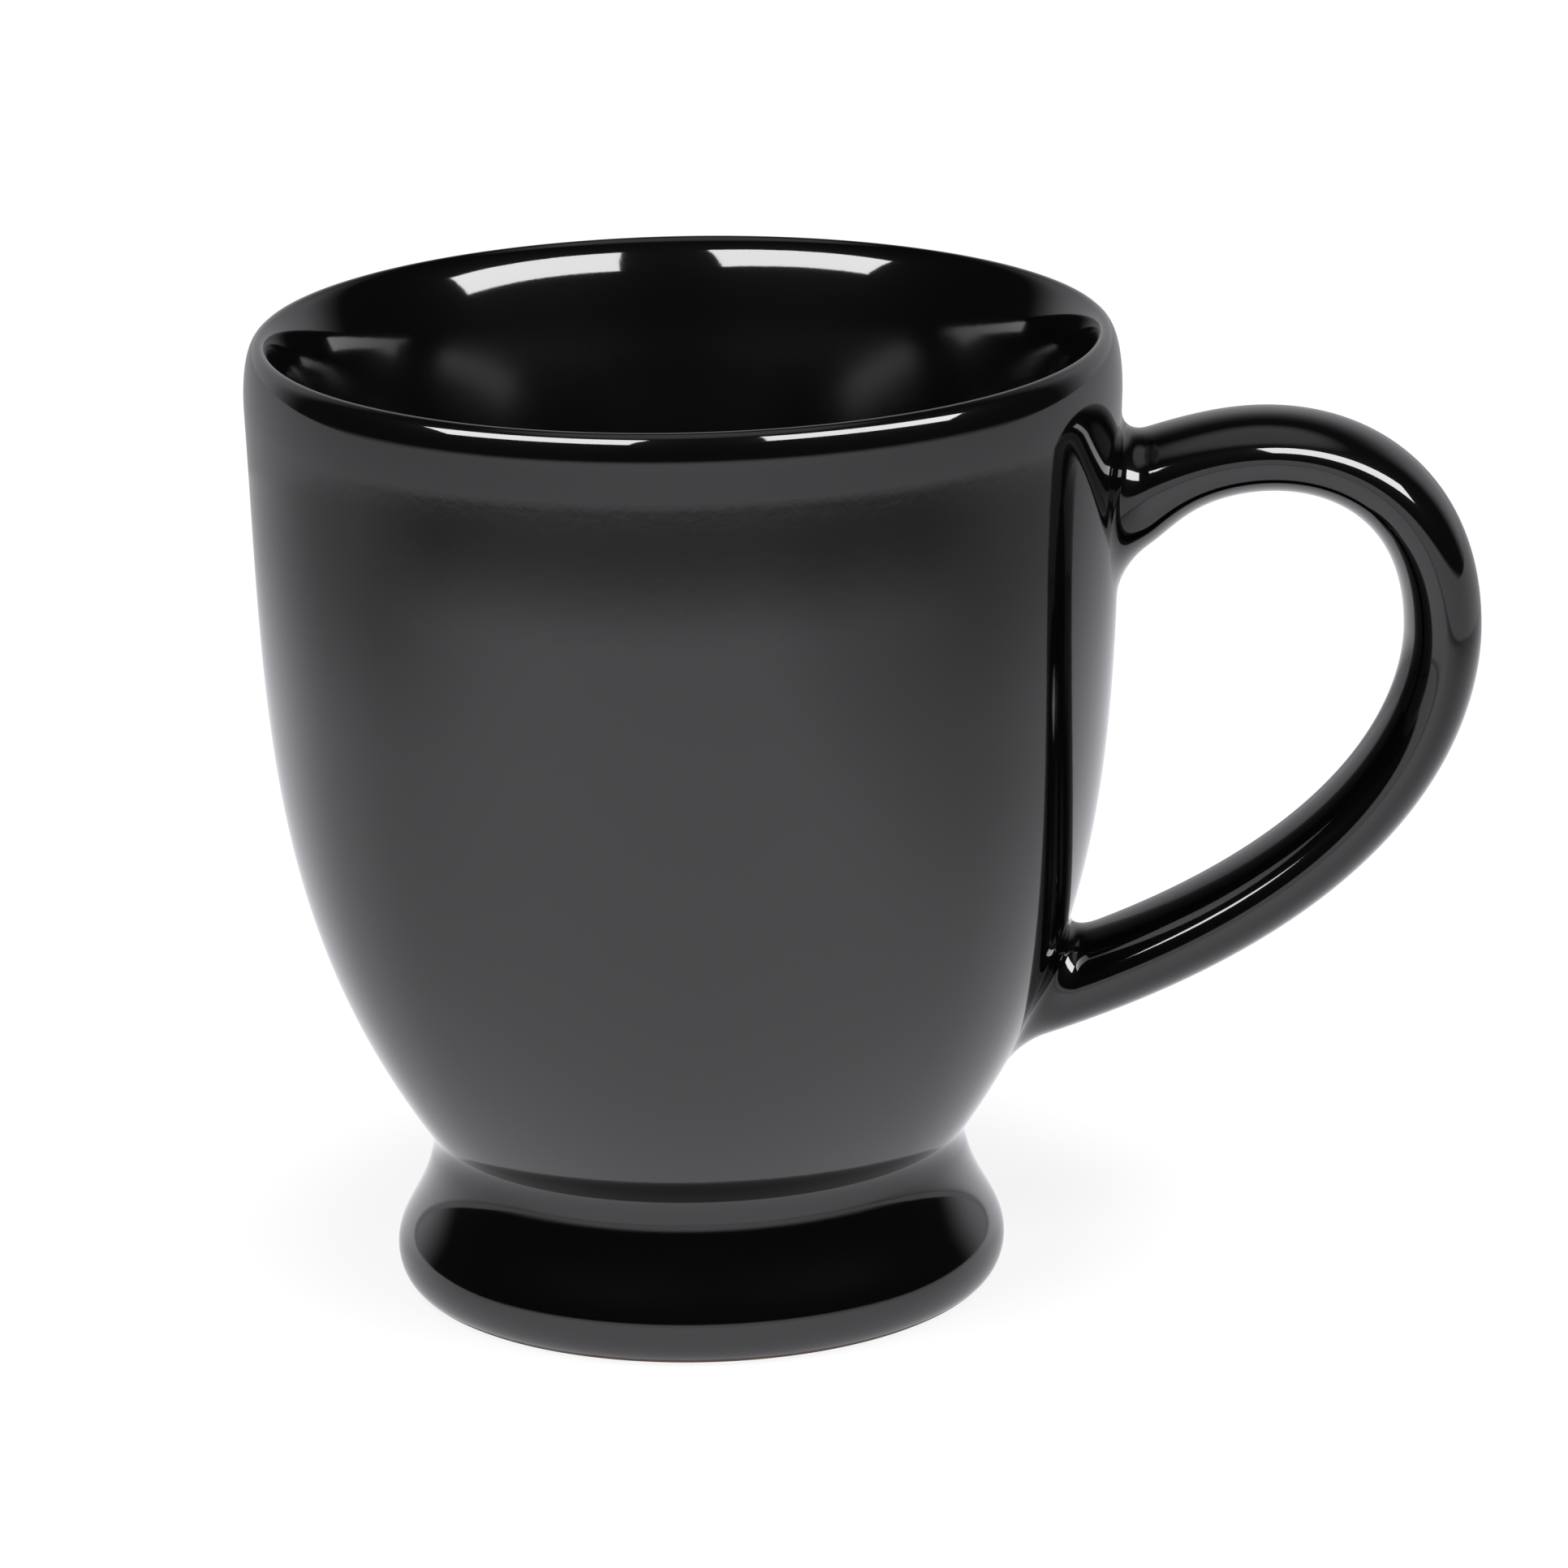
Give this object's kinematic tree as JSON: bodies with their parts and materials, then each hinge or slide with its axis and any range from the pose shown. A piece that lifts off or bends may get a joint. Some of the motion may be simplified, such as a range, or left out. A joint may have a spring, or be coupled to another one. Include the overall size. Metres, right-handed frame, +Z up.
{
  "type": "stoneware mug",
  "caption": "Footed stoneware mug with a rounded lip, a deep tapering bowl and a loop handle.",
  "frame": {"origin": "centre of the standing ring, on the axis of the bowl, at table level", "axes": "+Z up along the axis of the bowl, +X towards the handle, +Y across the handle"},
  "size_m": [0.1339, 0.095, 0.107],
  "materials": {
    "glaze": "gloss black glaze over stoneware"
  },
  "bodies": {
    "root": {"mug": "glaze"}
  },
  "joints": []
}
